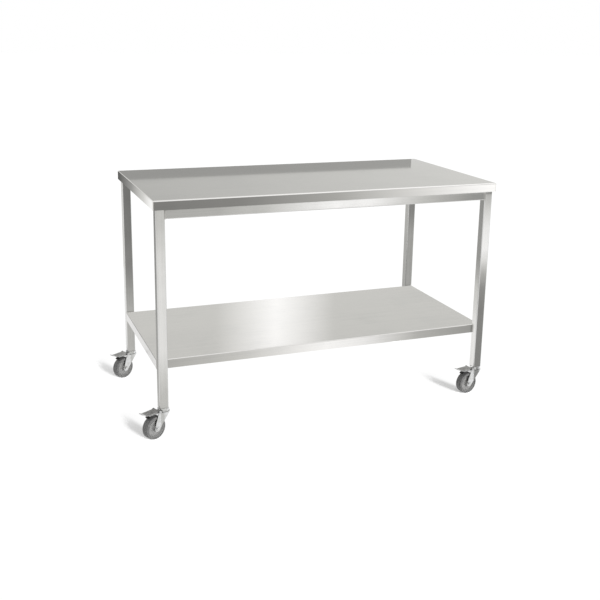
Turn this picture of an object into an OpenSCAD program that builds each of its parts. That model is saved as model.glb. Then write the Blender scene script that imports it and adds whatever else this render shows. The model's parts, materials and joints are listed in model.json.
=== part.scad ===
// Mobile work table: a folded sheet worktop and shelf on a square tube frame with four braked casters.
// Origin on the floor under the centre of the worktop, +X to the right, +Y to the back, +Z up.

/* [Worktop] */
// Width of the worktop, left to right
table_w = 1400; // [900:10:2000]
// Depth of the worktop, front to back
table_d = 700; // [500:10:900]
// Height of the worktop's upper face above the floor
table_h = 900; // [800:5:1000]
// Thickness of the worktop's sheet
top_sheet_t = 1.2; // [0.8:0.1:2]
// Height of the worktop's folded edge
top_edge_h = 35; // [25:1:60]
// Outer radius of the bend along the worktop's edge
top_bend_r = 6; // [3:0.5:10]
// Radius of the worktop's upright corners
top_corner_r = 4; // [3:0.5:10]
// Width of the return at the foot of the folded edge
top_return_w = 14; // [8:1:20]

/* [Frame] */
// Side of the square tube
tube = 35; // [30:1:50]
// Wall of the tubes
tube_wall = 1.5; // [1:0.1:2]
// Outer corner radius of the tubes
tube_corner_r = 3; // [2.5:0.5:5]
// Distance from the worktop's edge to the leg's outer face
leg_inset = 10; // [2:1:12]
// Width of the left and right rails
side_rail_w = 20; // [15:1:30]
// Height of the left and right rails
side_rail_h = 20; // [15:1:30]

/* [Shelf] */
// Height of the shelf's upper face above the floor
shelf_top_z = 290; // [220:5:500]
// Thickness of the shelf's sheet
shelf_sheet_t = 1; // [0.8:0.1:2]
// Height of the shelf's folded edge
shelf_edge_h = 35; // [28:1:50]
// Outer radius of the bend along the shelf's edge
shelf_bend_r = 4; // [3:0.5:8]
// Radius of the shelf's upright corners
shelf_corner_r = 3; // [2.5:0.5:8]
// Width of the return at the foot of the shelf's edge
shelf_return_w = 14; // [8:1:20]

/* [Stiffeners] */
// How many stiffeners the worktop has
stiffener_count = 3; // [2:1:5]
// Sheet thickness of the stiffeners
hat_t = 1.2; // [1:0.1:2]
// Width of a stiffener's crown
hat_crown_w = 50; // [40:1:80]
// Width of a stiffener's welded brim, on each side
hat_brim_w = 18; // [12:1:30]
// Height of the shelf's stiffener
shelf_hat_h = 24; // [15:1:26]
// Gap between a stiffener's end and the return of the folded edge
hat_end_gap = 1; // [0.5:0.5:10]

/* [Screws] */
// Thread diameter of the screws
screw_d = 6; // [5:1:6]
// Diameter of the flange under a screw's head
screw_flange_d = 13; // [12:0.5:14]
// Thickness of the flange under a screw's head
screw_flange_t = 1.5; // [1:0.1:2]
// Width across corners of a screw's head and of a weld nut
hex_d = 11.5; // [10.5:0.1:12]
// Height of a screw's head above its flange
screw_head_h = 3.5; // [3:0.1:5]
// Height of a weld nut
weld_nut_h = 5; // [4:0.5:7]
// How far a screw's end stands out of its nut
screw_stand_out = 2; // [1:0.5:4]
// Diameter of the access hole below each of the worktop's screws
access_hole_d = 16; // [15:0.5:20]
// Body diameter of a rivet nut
rivet_nut_d = 9; // [8:0.5:9.5]
// Length of a rivet nut
rivet_nut_len = 12; // [10:0.5:14]
// Diameter of the bulge that holds a rivet nut in the leg's wall
rivet_bulge_d = 11.5; // [11:0.5:13]
// Length of that bulge
rivet_bulge_len = 3; // [2:0.5:5]

/* [Casters] */
// Diameter of the wheel over the tyre
wheel_d = 88; // [75:1:100]
// Width of the tyre
tyre_w = 32; // [25:1:36]
// Radial thickness of the tyre
tyre_t = 8; // [6:0.5:12]
// Radius of the tyre's shoulders
tyre_shoulder_r = 5; // [4:0.5:7]
// Offset of the axle behind the swivel axis
trail = 46; // [40:1:55]
// Gap between the wheel and the fork's crown
crown_gap = 8; // [6:0.5:15]
// Gap between the tyre and each fork cheek
cheek_gap = 3; // [2:0.5:6]
// Sheet thickness of the fork
fork_t = 2.5; // [2:0.1:3.5]
// Radius of the fork cheek round the axle
axle_lobe_r = 11.5; // [10:0.5:18]
// Radius of the fork cheek round the brake pin
pin_lobe_r = 6.5; // [6:0.5:9]
// Diameter of the axle bolt
axle_d = 8; // [6:1:10]
// Outer diameter of the axle sleeve
sleeve_d = 12; // [11.5:0.5:14]
// Width across corners of the axle bolt's head and nut
axle_hex_d = 15; // [14:0.5:18]
// Height of the axle bolt's head
axle_head_h = 5; // [4:0.5:7]
// Height of the axle nut
axle_nut_h = 7; // [5:0.5:9]
// Outer diameter of the wheel's hub
hub_d = 26; // [22:1:30]
// Half thickness of the wheel's web
web_half_t = 7; // [4:0.5:9]
// Radial thickness of the wheel's rim under the tyre
rim_t = 5; // [3:0.5:6]

/* [Swivel] */
// Outer diameter of the swivel head
head_d = 44; // [42:1:46]
// Sheet thickness of the swivel head
head_t = 2.6; // [2:0.1:3]
// Radius of the swivel head's upper edge
head_edge_r = 5; // [4:0.5:6]
// Height of the raised race on the fork's crown
race_h = 4; // [3:0.5:6]
// Room between the two races
race_gap = 6; // [5:0.5:8]
// Diameter of the king bolt's thread
king_d = 10; // [8:1:12]
// Diameter of the king bolt's shoulder
shoulder_d = 14; // [13:0.5:15]
// Diameter of the king bolt's head
king_head_d = 22; // [18:1:26]
// Height of the king bolt's head
king_head_h = 4; // [3:0.5:6]
// How many balls each swivel has
ball_count = 12; // [8:1:13]
// Diameter of a ball
ball_d = 5.4; // [4:0.1:5.4]
// Height of the leg insert's plug
insert_h = 30; // [20:1:50]
// Thickness of the leg insert's flange
insert_flange_t = 2.5; // [2:0.5:5]

/* [Brake] */
// Distance from the swivel axis to the brake pin
pin_reach = 31; // [30:1:40]
// Height of the brake pin above the fork's crown
pin_rise = 5; // [0:0.5:5]
// Diameter of the brake pin
pin_d = 6; // [5:0.5:8]
// Diameter of the brake pin's heads
pin_head_d = 9.5; // [9:0.5:12]
// Height of the brake pin's heads
pin_head_h = 1.5; // [1:0.5:3]
// Radius of the pedal's knuckle
knuckle_r = 5.5; // [5:0.5:6]
// Sheet thickness of the pedal
pedal_t = 2.5; // [2:0.1:3]
// Downward slope of the pedal's tread, in degrees
pedal_slope = 1; // [0:1:12]
// Upward slope of the pedal's lip, in degrees
lip_slope = 25; // [8:1:30]
// Radius of the bend between the pedal's tread and its lip
lip_bend_r = 24; // [15:1:40]
// Length of the lip's straight end
lip_len = 12; // [6:1:14]
// How far the pedal stands out past the wheel
pedal_over = 15; // [10:1:25]
// Gap between the pedal and each fork cheek
pedal_side_gap = 2; // [1:0.5:3]
// Depth of the flanges under the pedal's sides
pedal_flange_h = 6; // [4:0.5:7]
// Radius of the pedal's outer corners
pedal_corner_r = 8; // [5:1:12]
// Gap between the brake shoe and the tyre with the brake off
shoe_gap = 6; // [4:0.5:8]
// Thickness of the brake shoe's pad
shoe_t = 5; // [3:0.5:6]
// Width of the brake shoe's pad
shoe_w = 22; // [16:1:26]
// Angle of the pad's middle from the top of the wheel, in degrees
shoe_angle = 22; // [15:1:35]
// Angle that the pad covers, in degrees
shoe_span = 24; // [16:1:30]
// Diameter of the stud that holds the pad under the pedal
shoe_stud_d = 9; // [6:0.5:12]

/* [Caster headings] */
// Heading of the front left caster, in degrees from +X
heading_front_left = 208; // [0:1:359]
// Heading of the front right caster, in degrees from +X
heading_front_right = 192; // [0:1:359]
// Heading of the rear left caster, in degrees from +X
heading_rear_left = 210; // [0:1:359]
// Heading of the rear right caster, in degrees from +X
heading_rear_right = 140; // [0:1:359]

/* [Fits] */
// Radial clearance of a pin or sleeve that turns in its bore
running_fit = 0.05; // [0.02:0.01:0.1]
// Radial clearance of a bolt or nut that is held in its hole
held_fit = 0.05; // [0.02:0.01:0.1]
// Radial clearance of a screw in its clearance hole
screw_clearance = 0.3; // [0.2:0.1:0.5]
// Gap between parts of the swivel that pass each other
swivel_gap = 0.6; // [0.4:0.1:1]
// Clearance of the leg insert's plug in its tube, on each side
plug_fit = 0.1; // [0.05:0.05:0.3]

/* [Hidden] */
$fn = 48;
// Overlap of a cutting solid past the faces that it cuts
cut = 1;
// Overlap of solids that are one piece
bond = 0.2;
hull_fn = 32;

CORNERS = [
    ["front_left", -1, -1, heading_front_left],
    ["front_right", 1, -1, heading_front_right],
    ["rear_left", -1, 1, heading_rear_left],
    ["rear_right", 1, 1, heading_rear_right]
];
TABLE_NODES = [
    "worktop", "front_rail", "rear_rail", "left_rail", "right_rail", "shelf", "shelf_stiffener",
    "top_fixing_screws", "top_fixing_nuts", "shelf_screws", "shelf_rivet_nuts",
    "leg_inserts", "king_bolts", "swivel_heads", "swivel_balls"
];
CORNER_NODES = [
    "leg", "fork", "axle_bolt", "axle_nut", "axle_sleeve", "brake_pin",
    "wheel_core", "tyre", "brake_pedal", "brake_shoe"
];

// Stack of the swivel, upwards from the wheel
wheel_r = wheel_d / 2;
crown_z = wheel_d + crown_gap;
crown_top_z = crown_z + fork_t;
race_z = crown_top_z + race_h;
head_under_z = race_z + race_gap;
caster_h = head_under_z + head_t;
leg_foot_z = caster_h + insert_flange_t;

// Heights and places in the frame
frame_top_z = table_h - top_edge_h;
leg_x = table_w / 2 - leg_inset - tube / 2;
leg_y = table_d / 2 - leg_inset - tube / 2;
rail_len_x = 2 * leg_x - tube;
rail_len_y = 2 * leg_y - tube;
rail_z = frame_top_z - tube / 2;
side_rail_x = leg_x - tube / 2 + side_rail_w / 2;
side_rail_z = frame_top_z - side_rail_h / 2;

// Stiffeners of the worktop, evenly spaced along the rails
stiffener_pitch = rail_len_x / stiffener_count;
stiffener_x = [for (i = [1 : stiffener_count]) (i - (stiffener_count + 1) / 2) * stiffener_pitch];
top_hat_h = top_edge_h - top_sheet_t;
top_hat_len = table_d - 2 * (top_return_w + hat_end_gap);

// Shelf tray between the front and the rear legs
shelf_w = 2 * leg_x + tube;
shelf_d = 2 * leg_y - tube;
shelf_screw_z = shelf_top_z - shelf_edge_h / 2;

// Fork, wheel and brake
fork_in = tyre_w + 2 * cheek_gap;
cheek_y = fork_in / 2;
cheek_out_y = cheek_y + fork_t;
crown_r = cheek_out_y + fork_t;
head_in_r = head_d / 2 - head_t;
race_r = head_in_r - swivel_gap;
ball_ring_r = (race_r + shoulder_d / 2) / 2;
pin_z = crown_top_z + pin_rise;
rim_r = wheel_r - tyre_t;
hub_half = cheek_y - swivel_gap;
pedal_w = fork_in - 2 * pedal_side_gap;
pedal_tread_z = pin_z + knuckle_r - pedal_t / 2;
lip_turn = pedal_slope + lip_slope;
lip_bend_run = lip_bend_r * (sin(pedal_slope) + sin(lip_slope));
pedal_tip_x = trail + wheel_r + pedal_over;
pedal_top_z = pedal_tread_z + lip_bend_r + lip_len;
tread_len = (pedal_tip_x - pin_reach - lip_bend_run - lip_len * cos(lip_slope)) / cos(pedal_slope);

// Rectangle with round corners, centred
module rounded_rectangle(w, d, r) {
    square([w - 2 * r, d], center = true);
    square([w, d - 2 * r], center = true);
    for (sx = [-1, 1], sy = [-1, 1])
        translate([sx * (w / 2 - r), sy * (d / 2 - r)])
            circle(r);
}

// Outline of a folded sheet: square at the foot, round at the two upper corners
module folded_outline(w, h, r) {
    translate([-w / 2, 0])
        square([w, h - r]);
    translate([-w / 2 + r, 0])
        square([w - 2 * r, h]);
    for (s = [-1, 1])
        translate([s * (w / 2 - r), h - r])
            circle(r);
}

// Block with all four upper edges and the four upright corners rounded
module folded_block(w, d, h, bend_r, corner_r) {
    intersection() {
        rotate([90, 0, 0])
            linear_extrude(d + 2 * cut, center = true)
                folded_outline(w, h, bend_r);
        rotate([90, 0, 90])
            linear_extrude(w + 2 * cut, center = true)
                folded_outline(d, h, bend_r);
        linear_extrude(h)
            rounded_rectangle(w, d, corner_r);
    }
}

// Sheet with its edges folded down and returned inwards, open below
module folded_tray(w, d, h, t, bend_r, corner_r, return_w) {
    difference() {
        folded_block(w, d, h, bend_r, corner_r);
        translate([0, 0, t])
            folded_block(w - 2 * t, d - 2 * t, h - 2 * t, bend_r - t, corner_r - t);
        translate([0, 0, t / 2])
            cube([w - 2 * return_w, d - 2 * return_w, t + 2 * cut], center = true);
    }
}

// Hat section along Y: crown below, brims above
module hat(h, len) {
    rotate([90, 0, 0])
        linear_extrude(len, center = true) {
            translate([-hat_crown_w / 2, 0])
                square([hat_crown_w, hat_t]);
            for (s = [-1, 1]) {
                translate([s * (hat_crown_w - hat_t) / 2 - hat_t / 2, 0])
                    square([hat_t, h]);
                translate([s * (hat_crown_w + hat_brim_w - hat_t) / 2 - hat_brim_w / 2, h - hat_t])
                    square([hat_brim_w, hat_t]);
            }
        }
}

// Section of a tube, centred
module tube_section(w, d) {
    difference() {
        rounded_rectangle(w, d, tube_corner_r);
        rounded_rectangle(w - 2 * tube_wall, d - 2 * tube_wall, tube_corner_r - tube_wall);
    }
}

// Flanged screw along +Z, with the underside of its flange on the XY plane
module flanged_screw(len) {
    cylinder(h = len, d = screw_d);
    translate([0, 0, -screw_flange_t])
        cylinder(h = screw_flange_t, d = screw_flange_d);
    translate([0, 0, -screw_flange_t - screw_head_h])
        cylinder(h = screw_head_h, d = hex_d, $fn = 6);
}

// Places the screws that hold the worktop's stiffeners on the front and rear rails
module at_top_fixings(z) {
    for (x = stiffener_x, s = [-1, 1])
        translate([x, s * leg_y, z])
            children();
}

// Places the screws that hold the shelf on the legs, with +Z from the leg's face towards the shelf
module at_shelf_fixings() {
    for (sx = [-1, 1], sy = [-1, 1])
        translate([sx * leg_x, sy * (leg_y - tube / 2), shelf_screw_z])
            rotate([sy * 90, 0, 0])
                children();
}

// Places a caster's pieces: local +X trails from the swivel axis, local +Y runs along the axle
module at_caster(corner) {
    translate([corner[1] * leg_x, corner[2] * leg_y, 0])
        rotate([0, 0, corner[3]])
            children();
}

// Turns a piece made along +Z so that it lies along the axle
module along_axle() {
    rotate([-90, 0, 0])
        children();
}

// Extrudes an outline drawn in the caster's upright plane to a width, centred on the wheel
module across_caster(w) {
    rotate([90, 0, 0])
        linear_extrude(w, center = true)
            children();
}

module worktop() {
    color("gainsboro")
        translate([0, 0, frame_top_z])
            folded_tray(table_w, table_d, top_edge_h, top_sheet_t, top_bend_r, top_corner_r, top_return_w);
}

module top_stiffener(x) {
    color("silver")
        difference() {
            translate([x, 0, frame_top_z])
                hat(top_hat_h, top_hat_len);
            at_top_fixings(frame_top_z - cut)
                cylinder(h = hat_t + 2 * cut, d = screw_d + 2 * screw_clearance);
        }
}

module leg(corner) {
    color("lightgray")
        difference() {
            translate([corner[1] * leg_x, corner[2] * leg_y, leg_foot_z])
                linear_extrude(frame_top_z - leg_foot_z)
                    tube_section(tube, tube);
            at_shelf_fixings()
                translate([0, 0, -tube_wall - cut])
                    cylinder(h = tube_wall + 2 * cut, d = rivet_nut_d + 2 * held_fit);
        }
}

module long_rail(side) {
    color("silver")
        difference() {
            translate([0, side * leg_y, rail_z])
                rotate([0, 90, 0])
                    linear_extrude(rail_len_x, center = true)
                        tube_section(tube, tube);
            at_top_fixings(frame_top_z - tube_wall - cut)
                cylinder(h = tube_wall + 2 * cut, d = screw_d + 2 * screw_clearance);
            at_top_fixings(frame_top_z - tube - cut)
                cylinder(h = tube_wall + 2 * cut, d = access_hole_d);
        }
}

module side_rail(side) {
    color("silver")
        translate([side * side_rail_x, 0, side_rail_z])
            rotate([90, 0, 0])
                linear_extrude(rail_len_y, center = true)
                    tube_section(side_rail_w, side_rail_h);
}

module shelf() {
    color("gainsboro")
        difference() {
            translate([0, 0, shelf_top_z - shelf_edge_h])
                folded_tray(shelf_w, shelf_d, shelf_edge_h, shelf_sheet_t, shelf_bend_r, shelf_corner_r,
                    shelf_return_w);
            at_shelf_fixings()
                translate([0, 0, -cut])
                    cylinder(h = shelf_sheet_t + 2 * cut, d = screw_d + 2 * screw_clearance);
        }
}

module shelf_stiffener() {
    color("silver")
        translate([0, 0, shelf_top_z - shelf_sheet_t - shelf_hat_h])
            rotate([0, 0, 90])
                hat(shelf_hat_h, shelf_w - 2 * (shelf_return_w + hat_end_gap));
}

// Screws up into the weld nuts, with their heads inside the rails
module top_fixing_screws() {
    color("darkgray")
        at_top_fixings(frame_top_z - tube_wall)
            flanged_screw(tube_wall + hat_t + weld_nut_h + screw_stand_out);
}

module top_fixing_nuts() {
    color("darkgray")
        at_top_fixings(frame_top_z + hat_t)
            difference() {
                cylinder(h = weld_nut_h, d = hex_d, $fn = 6);
                translate([0, 0, -cut])
                    cylinder(h = weld_nut_h + 2 * cut, d = screw_d + 2 * held_fit);
            }
}

module shelf_screws() {
    color("darkgray")
        at_shelf_fixings()
            translate([0, 0, shelf_sheet_t])
                rotate([180, 0, 0])
                    flanged_screw(shelf_sheet_t + rivet_nut_len + screw_stand_out);
}

module shelf_rivet_nuts() {
    color("darkgray")
        at_shelf_fixings()
            difference() {
                union() {
                    translate([0, 0, -rivet_nut_len])
                        cylinder(h = rivet_nut_len, d = rivet_nut_d);
                    translate([0, 0, -tube_wall - rivet_bulge_len])
                        cylinder(h = rivet_bulge_len, d = rivet_bulge_d);
                }
                translate([0, 0, -rivet_nut_len - cut])
                    cylinder(h = rivet_nut_len + 2 * cut, d = screw_d + 2 * held_fit);
            }
}

// Square plug in the leg's foot, with a flange that closes the tube and a threaded bore
module leg_inserts() {
    plug_w = tube - 2 * tube_wall - 2 * plug_fit;
    color("darkgray")
        for (corner = CORNERS)
            at_leg_foot(corner)
                difference() {
                    union() {
                        linear_extrude(insert_flange_t)
                            rounded_rectangle(tube, tube, tube_corner_r);
                        linear_extrude(insert_flange_t + insert_h)
                            rounded_rectangle(plug_w, plug_w, tube_corner_r);
                    }
                    translate([0, 0, -cut])
                        cylinder(h = insert_flange_t + insert_h + 2 * cut, d = king_d + 2 * held_fit);
                }
}

// Places what sits on the underside of a leg's foot
module at_leg_foot(corner) {
    translate([corner[1] * leg_x, corner[2] * leg_y, caster_h])
        children();
}

// Bolt that hangs the caster in the leg: head below the crown, shoulder in the crown, thread in the insert
module king_bolts() {
    head_z = crown_z - swivel_gap;
    color("darkgray")
        for (corner = CORNERS)
            at_caster(corner) {
                translate([0, 0, head_z - king_head_h])
                    cylinder(h = king_head_h, d = king_head_d);
                translate([0, 0, head_z - bond])
                    cylinder(h = head_under_z - head_z + bond, d = shoulder_d);
                translate([0, 0, head_under_z - bond])
                    cylinder(h = head_t + insert_flange_t + insert_h + bond, d = king_d);
            }
}

// Cup that covers the race, clamped between the king bolt's shoulder and the leg insert
module swivel_heads() {
    skirt_z = crown_top_z + swivel_gap;
    color("gainsboro")
        for (corner = CORNERS)
            at_caster(corner)
                difference() {
                    rotate_extrude() {
                        translate([0, skirt_z])
                            square([head_d / 2, caster_h - head_edge_r - skirt_z]);
                        square_under_edge(caster_h, head_d / 2, head_edge_r);
                    }
                    translate([0, 0, skirt_z - cut])
                        cylinder(h = head_under_z - skirt_z + cut, r = head_in_r);
                    translate([0, 0, skirt_z])
                        cylinder(h = caster_h, d = king_d + 2 * held_fit);
                }
}

// Upper part of the cup's half outline, ending in a round edge
module square_under_edge(top, r, edge_r) {
    translate([0, top - edge_r - bond])
        square([r - edge_r, edge_r + bond]);
    intersection() {
        translate([r - edge_r, top - edge_r])
            circle(edge_r);
        translate([0, top - edge_r - bond])
            square([r, edge_r + bond]);
    }
}

module swivel_balls() {
    color("darkgray")
        for (corner = CORNERS)
            at_caster(corner)
                for (i = [0 : ball_count - 1])
                    rotate([0, 0, i * 360 / ball_count])
                        translate([ball_ring_r, 0, head_under_z - ball_d / 2 - held_fit])
                            sphere(d = ball_d);
}

// One side of the fork: a blade from the crown to the axle with a raised ear for the brake pin
module fork_cheek() {
    blade_back_x = sqrt(pow(crown_r, 2) - pow(cheek_out_y, 2)) + fork_t;
    across_caster(fork_t) {
        hull() {
            translate([trail, wheel_r])
                circle(axle_lobe_r, $fn = hull_fn);
            translate([-blade_back_x, crown_z])
                square([blade_back_x + pin_reach, fork_t]);
        }
        hull() {
            translate([trail, wheel_r])
                circle(axle_lobe_r, $fn = hull_fn);
            translate([pin_reach, pin_z])
                circle(pin_lobe_r, $fn = hull_fn);
        }
    }
}

module fork(corner) {
    color("gainsboro")
        at_caster(corner)
            difference() {
                union() {
                    translate([0, 0, crown_z])
                        cylinder(h = fork_t, r = crown_r);
                    translate([0, 0, crown_z])
                        cylinder(h = fork_t + race_h, r = race_r);
                    for (s = [-1, 1])
                        translate([0, s * (cheek_y + fork_t / 2), 0])
                            fork_cheek();
                }
                translate([0, 0, crown_z - cut])
                    cylinder(h = fork_t + race_h + 2 * cut, d = shoulder_d + 2 * running_fit);
                translate([trail, -crown_r, wheel_r])
                    along_axle()
                        cylinder(h = 2 * crown_r, d = axle_d + 2 * held_fit);
                translate([pin_reach, -crown_r, pin_z])
                    along_axle()
                        cylinder(h = 2 * crown_r, d = pin_d + 2 * held_fit);
            }
}

module axle_bolt(corner) {
    shank_len = 2 * cheek_out_y + axle_nut_h + screw_stand_out;
    color("darkgray")
        at_caster(corner)
            translate([trail, cheek_out_y, wheel_r])
                along_axle() {
                    translate([0, 0, -shank_len])
                        cylinder(h = shank_len + bond, d = axle_d);
                    cylinder(h = axle_head_h, d = axle_hex_d, $fn = 6);
                }
}

module axle_nut(corner) {
    color("darkgray")
        at_caster(corner)
            translate([trail, -cheek_out_y - axle_nut_h, wheel_r])
                along_axle()
                    difference() {
                        cylinder(h = axle_nut_h, d = axle_hex_d, $fn = 6);
                        translate([0, 0, -cut])
                            cylinder(h = axle_nut_h + 2 * cut, d = axle_d + 2 * held_fit);
                    }
}

// Tube that the wheel turns on, clamped between the cheeks
module axle_sleeve(corner) {
    color("silver")
        at_caster(corner)
            translate([trail, -cheek_y, wheel_r])
                along_axle()
                    difference() {
                        cylinder(h = fork_in, d = sleeve_d);
                        translate([0, 0, -cut])
                            cylinder(h = fork_in + 2 * cut, d = axle_d + 2 * held_fit);
                    }
}

// Hub, dished web and rim in one moulding
module wheel_core(corner) {
    rim_half = tyre_w / 2 - tyre_shoulder_r / 2;
    bore_r = sleeve_d / 2 + running_fit;
    hub_r = hub_d / 2;
    color("darkgray")
        at_caster(corner)
            translate([trail, 0, wheel_r])
                along_axle()
                    rotate_extrude()
                        polygon([
                            [bore_r, -hub_half], [hub_r - rim_t / 2, -hub_half], [hub_r, -web_half_t],
                            [rim_r - rim_t, -web_half_t], [rim_r - rim_t / 2, -rim_half], [rim_r, -rim_half],
                            [rim_r, rim_half], [rim_r - rim_t / 2, rim_half], [rim_r - rim_t, web_half_t],
                            [hub_r, web_half_t], [hub_r - rim_t / 2, hub_half], [bore_r, hub_half]
                        ]);
}

// Ring with round shoulders and a flat tread, bonded on the rim
module tyre(corner) {
    color("dimgray")
        at_caster(corner)
            translate([trail, 0, wheel_r])
                along_axle()
                    rotate_extrude() {
                        translate([rim_r, -tyre_w / 2])
                            square([tyre_t - tyre_shoulder_r, tyre_w]);
                        translate([rim_r, tyre_shoulder_r - tyre_w / 2])
                            square([tyre_t, tyre_w - 2 * tyre_shoulder_r]);
                        for (s = [-1, 1])
                            translate([wheel_r - tyre_shoulder_r, s * (tyre_w / 2 - tyre_shoulder_r)])
                                circle(tyre_shoulder_r);
                    }
}

module brake_pin(corner) {
    color("silver")
        at_caster(corner)
            translate([pin_reach, 0, pin_z])
                along_axle() {
                    cylinder(h = 2 * cheek_out_y + bond, d = pin_d, center = true);
                    for (s = [-1, 1])
                        translate([0, 0, s * (cheek_out_y + pin_head_h / 2)])
                            cylinder(h = pin_head_h, d = pin_head_d, center = true);
                }
}

// Points at one distance above the pedal's middle surface: tread, bend and lip
function pedal_edge(offset) =
    let (
        bend_steps = 8,
        start = [pin_reach, pedal_tread_z],
        bend_start = start + tread_len * [cos(pedal_slope), -sin(pedal_slope)],
        centre = bend_start + lip_bend_r * [sin(pedal_slope), cos(pedal_slope)],
        r = lip_bend_r - offset,
        bend = [
            for (i = [0 : bend_steps])
                let (a = i / bend_steps * lip_turn - pedal_slope)
                    centre + r * [sin(a), -cos(a)]
        ],
        tip = bend[bend_steps] + lip_len * [cos(lip_slope), sin(lip_slope)]
    )
    concat([start + offset * [sin(pedal_slope), cos(pedal_slope)]], bend, [tip]);

function reversed(points) = [for (i = [len(points) - 1 : -1 : 0]) points[i]];

// Outline of the bent pedal plate in the caster's upright plane
module pedal_profile() {
    polygon(concat(pedal_edge(pedal_t / 2), reversed(pedal_edge(-pedal_t / 2))));
}

// Seen from above, the pedal has round outer corners
module pedal_plan() {
    translate([pin_reach, -pedal_w / 2])
        square([pedal_tip_x - pin_reach - pedal_corner_r, pedal_w]);
    translate([pin_reach, pedal_corner_r - pedal_w / 2])
        square([pedal_tip_x - pin_reach + cut, pedal_w - 2 * pedal_corner_r]);
    for (s = [-1, 1])
        translate([pedal_tip_x - pedal_corner_r, s * (pedal_w / 2 - pedal_corner_r)])
            circle(pedal_corner_r);
}

// Side flange under the tread, from the knuckle to where the bend begins
module pedal_flange() {
    down = [-sin(pedal_slope), -cos(pedal_slope)];
    along = [cos(pedal_slope), -sin(pedal_slope)];
    start = [pin_reach, pedal_tread_z];
    across_caster(pedal_t)
        polygon([
            start,
            start + tread_len * along,
            start + tread_len * along + pedal_t / 2 * down,
            start + (tread_len - pedal_flange_h) * along + pedal_flange_h * down,
            start + pedal_flange_h * down
        ]);
}

module brake_pedal(corner) {
    color("silver")
        at_caster(corner)
            difference() {
                union() {
                    translate([pin_reach, -pedal_w / 2, pin_z])
                        along_axle()
                            cylinder(h = pedal_w, r = knuckle_r);
                    intersection() {
                        across_caster(pedal_w)
                            pedal_profile();
                        linear_extrude(pedal_top_z)
                            pedal_plan();
                    }
                    for (s = [-1, 1])
                        translate([0, s * (pedal_w - pedal_t) / 2, 0])
                            pedal_flange();
                }
                translate([pin_reach, -crown_r, pin_z])
                    along_axle()
                        cylinder(h = 2 * crown_r, d = pin_d + 2 * running_fit);
            }
}

// Curved pad over the tyre and the stud that hangs it under the pedal's tread
module brake_shoe(corner) {
    pad_r = wheel_r + shoe_gap;
    pad_mid = [trail, wheel_r] + (pad_r + shoe_t / 2) * [sin(shoe_angle), cos(shoe_angle)];
    to_tread = [pin_reach, pedal_tread_z] - pad_mid;
    stud_len = to_tread * [sin(pedal_slope), cos(pedal_slope)] - pedal_t / 2;
    color("dimgray")
        at_caster(corner) {
            across_caster(shoe_w)
                intersection() {
                    translate([trail, wheel_r])
                        difference() {
                            circle(pad_r + shoe_t);
                            circle(pad_r);
                        }
                    translate([trail, wheel_r])
                        polygon([
                            [0, 0],
                            2 * wheel_d * [sin(shoe_angle - shoe_span / 2), cos(shoe_angle - shoe_span / 2)],
                            2 * wheel_d * [sin(shoe_angle + shoe_span / 2), cos(shoe_angle + shoe_span / 2)]
                        ]);
                }
            translate([pad_mid[0], 0, pad_mid[1]])
                rotate([0, pedal_slope, 0])
                    cylinder(h = stud_len, d = shoe_stud_d);
        }
}

worktop();
long_rail(-1);  // front_rail
long_rail(1);  // rear_rail
side_rail(-1);  // left_rail
side_rail(1);  // right_rail
shelf();
shelf_stiffener();
top_fixing_screws();
top_fixing_nuts();
shelf_screws();
shelf_rivet_nuts();
leg_inserts();
king_bolts();
swivel_heads();
swivel_balls();
for (i = [1 : stiffener_count])
    top_stiffener(stiffener_x[i - 1]);
for (corner = CORNERS) {
    leg(corner);
    fork(corner);
    axle_bolt(corner);
    axle_nut(corner);
    axle_sleeve(corner);
    brake_pin(corner);
    wheel_core(corner);
    tyre(corner);
    brake_pedal(corner);
    brake_shoe(corner);
}
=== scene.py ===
import json
import math

import bmesh
import bpy
from mathutils import Matrix, Vector


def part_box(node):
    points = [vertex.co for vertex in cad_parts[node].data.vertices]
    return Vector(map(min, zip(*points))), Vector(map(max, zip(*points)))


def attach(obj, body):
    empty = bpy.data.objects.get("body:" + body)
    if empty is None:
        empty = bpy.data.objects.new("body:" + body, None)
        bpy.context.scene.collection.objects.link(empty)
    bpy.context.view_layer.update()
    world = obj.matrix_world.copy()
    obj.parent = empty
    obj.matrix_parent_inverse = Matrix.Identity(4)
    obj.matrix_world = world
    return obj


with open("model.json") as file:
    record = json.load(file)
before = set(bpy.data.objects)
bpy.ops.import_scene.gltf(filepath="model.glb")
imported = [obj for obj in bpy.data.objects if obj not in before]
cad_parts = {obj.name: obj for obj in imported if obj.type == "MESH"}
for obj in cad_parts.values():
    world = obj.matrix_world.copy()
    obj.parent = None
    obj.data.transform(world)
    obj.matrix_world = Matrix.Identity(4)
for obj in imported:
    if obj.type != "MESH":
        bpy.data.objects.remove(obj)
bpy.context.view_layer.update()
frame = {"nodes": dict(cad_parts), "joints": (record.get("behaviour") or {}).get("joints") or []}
corners = ["front_left", "front_right", "rear_left", "rear_right"]
joints = {joint["name"]: joint for joint in frame["joints"]}
alongX, alongY, alongZ = range(3)
print("frame: loaded", len(frame["nodes"]), "pieces")


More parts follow.
